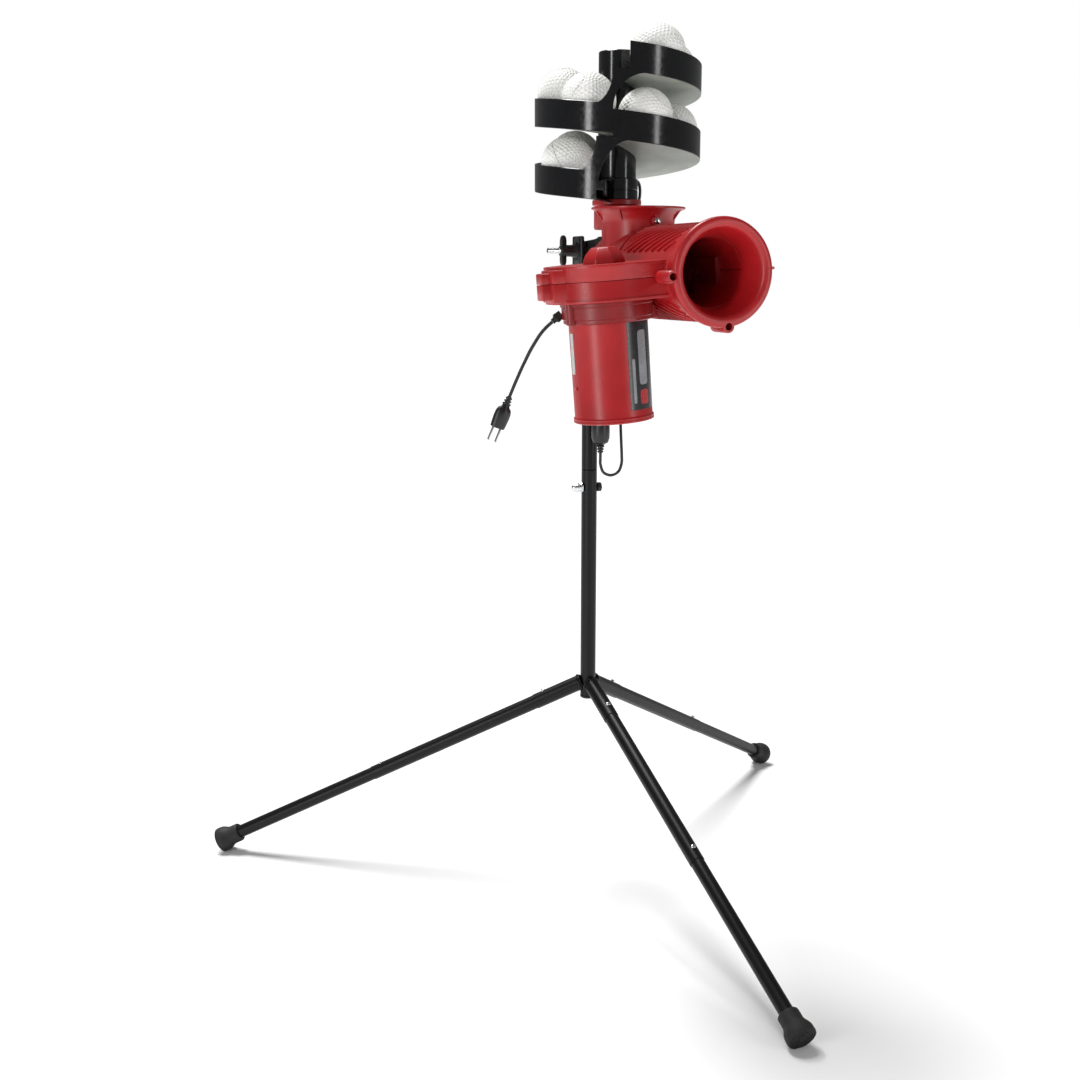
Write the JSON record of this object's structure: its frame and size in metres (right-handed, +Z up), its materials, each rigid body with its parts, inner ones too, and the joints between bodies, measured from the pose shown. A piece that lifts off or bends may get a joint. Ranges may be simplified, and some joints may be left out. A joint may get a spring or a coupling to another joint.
{
  "type": "ball pitching machine",
  "caption": "Light ball-pitching machine on a tripod: a turning head with a motor-driven wheel, a tee with a tilt clamp, and a two-tier spiral ball feeder.",
  "frame": {"origin": "on the floor, under the middle of the machine's box without its leads", "axes": "+Z up, -Y the way the barrel points, +X to the right of someone facing the muzzle from in front looking along +Y"},
  "size_m": [1.0036, 0.9078, 1.1981],
  "materials": {
    "tube_black": "satin black powder coat with a faint green cast",
    "rubber_black": "matt black rubber",
    "chrome": "bright chrome plate",
    "bolt_black": "black oxide",
    "clamp_black": "black coated steel",
    "knob_black": "moulded black plastic",
    "plug_black": "moulded black vinyl",
    "red_plastic": "moulded red plastic with a soft gloss",
    "dark_red_plastic": "moulded deep red plastic",
    "feeder_black": "high gloss black moulded plastic",
    "motor_aluminium": "cast motor body",
    "steel": "zinc plated steel",
    "tyre": "soft rubber wheel face",
    "ball_white": "white dimpled practice baseball"
  },
  "bodies": {
    "tripod": {"mast_lower": "tube_black", "mast_upper": "tube_black", "mast_end_plug": "rubber_black", "mast_bolt": "bolt_black", "acorn_nut": "chrome", "leg_stub_1": "tube_black", "leg_mid_1": "tube_black", "leg_end_1": "tube_black", "leg_stub_2": "tube_black", "leg_mid_2": "tube_black", "leg_end_2": "tube_black", "leg_stub_3": "tube_black", "leg_mid_3": "tube_black", "leg_end_3": "tube_black", "foot_1": "rubber_black", "foot_2": "rubber_black", "foot_3": "rubber_black"},
    "clamp": {"clamp_block": "clamp_black", "lead_socket": "plug_black", "lead_plug": "plug_black", "feeder_lead": "rubber_black"},
    "knob": {"wing_knob": "knob_black"},
    "tee": {"feed_tee": "red_plastic", "chute_screw": "chrome", "tilt_lug": "clamp_black", "feeder_neck": "feeder_black", "feeder_motor": "motor_aluminium", "feeder_tier_1": "feeder_black", "feeder_tier_2": "feeder_black", "ball_1": "ball_white", "ball_2": "ball_white", "ball_3": "ball_white", "ball_4": "ball_white", "ball_5": "ball_white", "ball_6": "ball_white", "ball_7": "ball_white", "ball_8": "ball_white"},
    "gate": {"gate_arm": "feeder_black"},
    "head": {"head_shell_upper": "red_plastic", "head_shell_lower": "red_plastic", "squeeze_pad": "tyre", "muzzle": "red_plastic", "muzzle_screw_1": "steel", "muzzle_screw_2": "steel", "motor_collar": "dark_red_plastic", "motor_can": "red_plastic", "motor_core": "motor_aluminium", "motor_nut_1": "steel", "motor_nut_2": "steel", "cord_gland": "rubber_black", "pigtail": "rubber_black", "pigtail_plug": "plug_black"},
    "flywheel": {"flywheel_hub": "steel", "flywheel_tyre": "tyre"},
    "snap_1": {"snap_button_1": "chrome"},
    "snap_2": {"snap_button_2": "chrome"},
    "snap_3": {"snap_button_3": "chrome"},
    "snap_4": {"snap_button_4": "chrome"},
    "snap_5": {"snap_button_5": "chrome"},
    "snap_6": {"snap_button_6": "chrome"}
  },
  "joints": [
    {"name": "pan", "type": "hinge", "parent": "tripod", "child": "clamp", "pos_m": [0.01914, 0.1208, 0.87], "axis": [0, 0, 1], "range_deg": [-60, 60]},
    {"name": "tilt", "type": "hinge", "parent": "clamp", "child": "tee", "pos_m": [0.01914, 0.1208, 0.909], "axis": [1, 0, 0], "range_deg": [-25, 15], "deforming": ["feeder_lead"]},
    {"name": "wing_turn", "type": "hinge", "parent": "clamp", "child": "knob", "pos_m": [0.01914, 0.1208, 0.909], "axis": [1, 0, 0], "continuous": true},
    {"name": "head_roll", "type": "hinge", "parent": "tee", "child": "head", "pos_m": [0.04364, -0.0792, 0.88], "axis": [0, 1, 0], "continuous": true},
    {"name": "wheel_spin", "type": "hinge", "parent": "head", "child": "flywheel", "pos_m": [-0.05855, -0.1192, 0.87196], "axis": [-0.0785, 0, 0.9969], "continuous": true},
    {"name": "gate_swing", "type": "hinge", "parent": "tee", "child": "gate", "pos_m": [0.01527, 0.06564, 0.99], "axis": [0, 0, 1], "range_deg": [0, 70]},
    {"name": "snap_1_press", "type": "slide", "parent": "tripod", "child": "snap_1", "axis": [-0.0306, 0.4373, -0.8988], "range_m": [0, 0.0025], "stiffness_N_per_m": 700, "springref_m": -0.002},
    {"name": "snap_2_press", "type": "slide", "parent": "tripod", "child": "snap_2", "axis": [-0.0306, 0.4373, -0.8988], "range_m": [0, 0.0025], "stiffness_N_per_m": 700, "springref_m": -0.002},
    {"name": "snap_3_press", "type": "slide", "parent": "tripod", "child": "snap_3", "axis": [-0.3634, -0.2451, -0.8988], "range_m": [0, 0.0025], "stiffness_N_per_m": 700, "springref_m": -0.002},
    {"name": "snap_4_press", "type": "slide", "parent": "tripod", "child": "snap_4", "axis": [-0.3634, -0.2451, -0.8988], "range_m": [0, 0.0025], "stiffness_N_per_m": 700, "springref_m": -0.002},
    {"name": "snap_5_press", "type": "slide", "parent": "tripod", "child": "snap_5", "axis": [0.394, -0.1922, -0.8988], "range_m": [0, 0.0025], "stiffness_N_per_m": 700, "springref_m": -0.002},
    {"name": "snap_6_press", "type": "slide", "parent": "tripod", "child": "snap_6", "axis": [0.394, -0.1922, -0.8988], "range_m": [0, 0.0025], "stiffness_N_per_m": 700, "springref_m": -0.002}
  ]
}
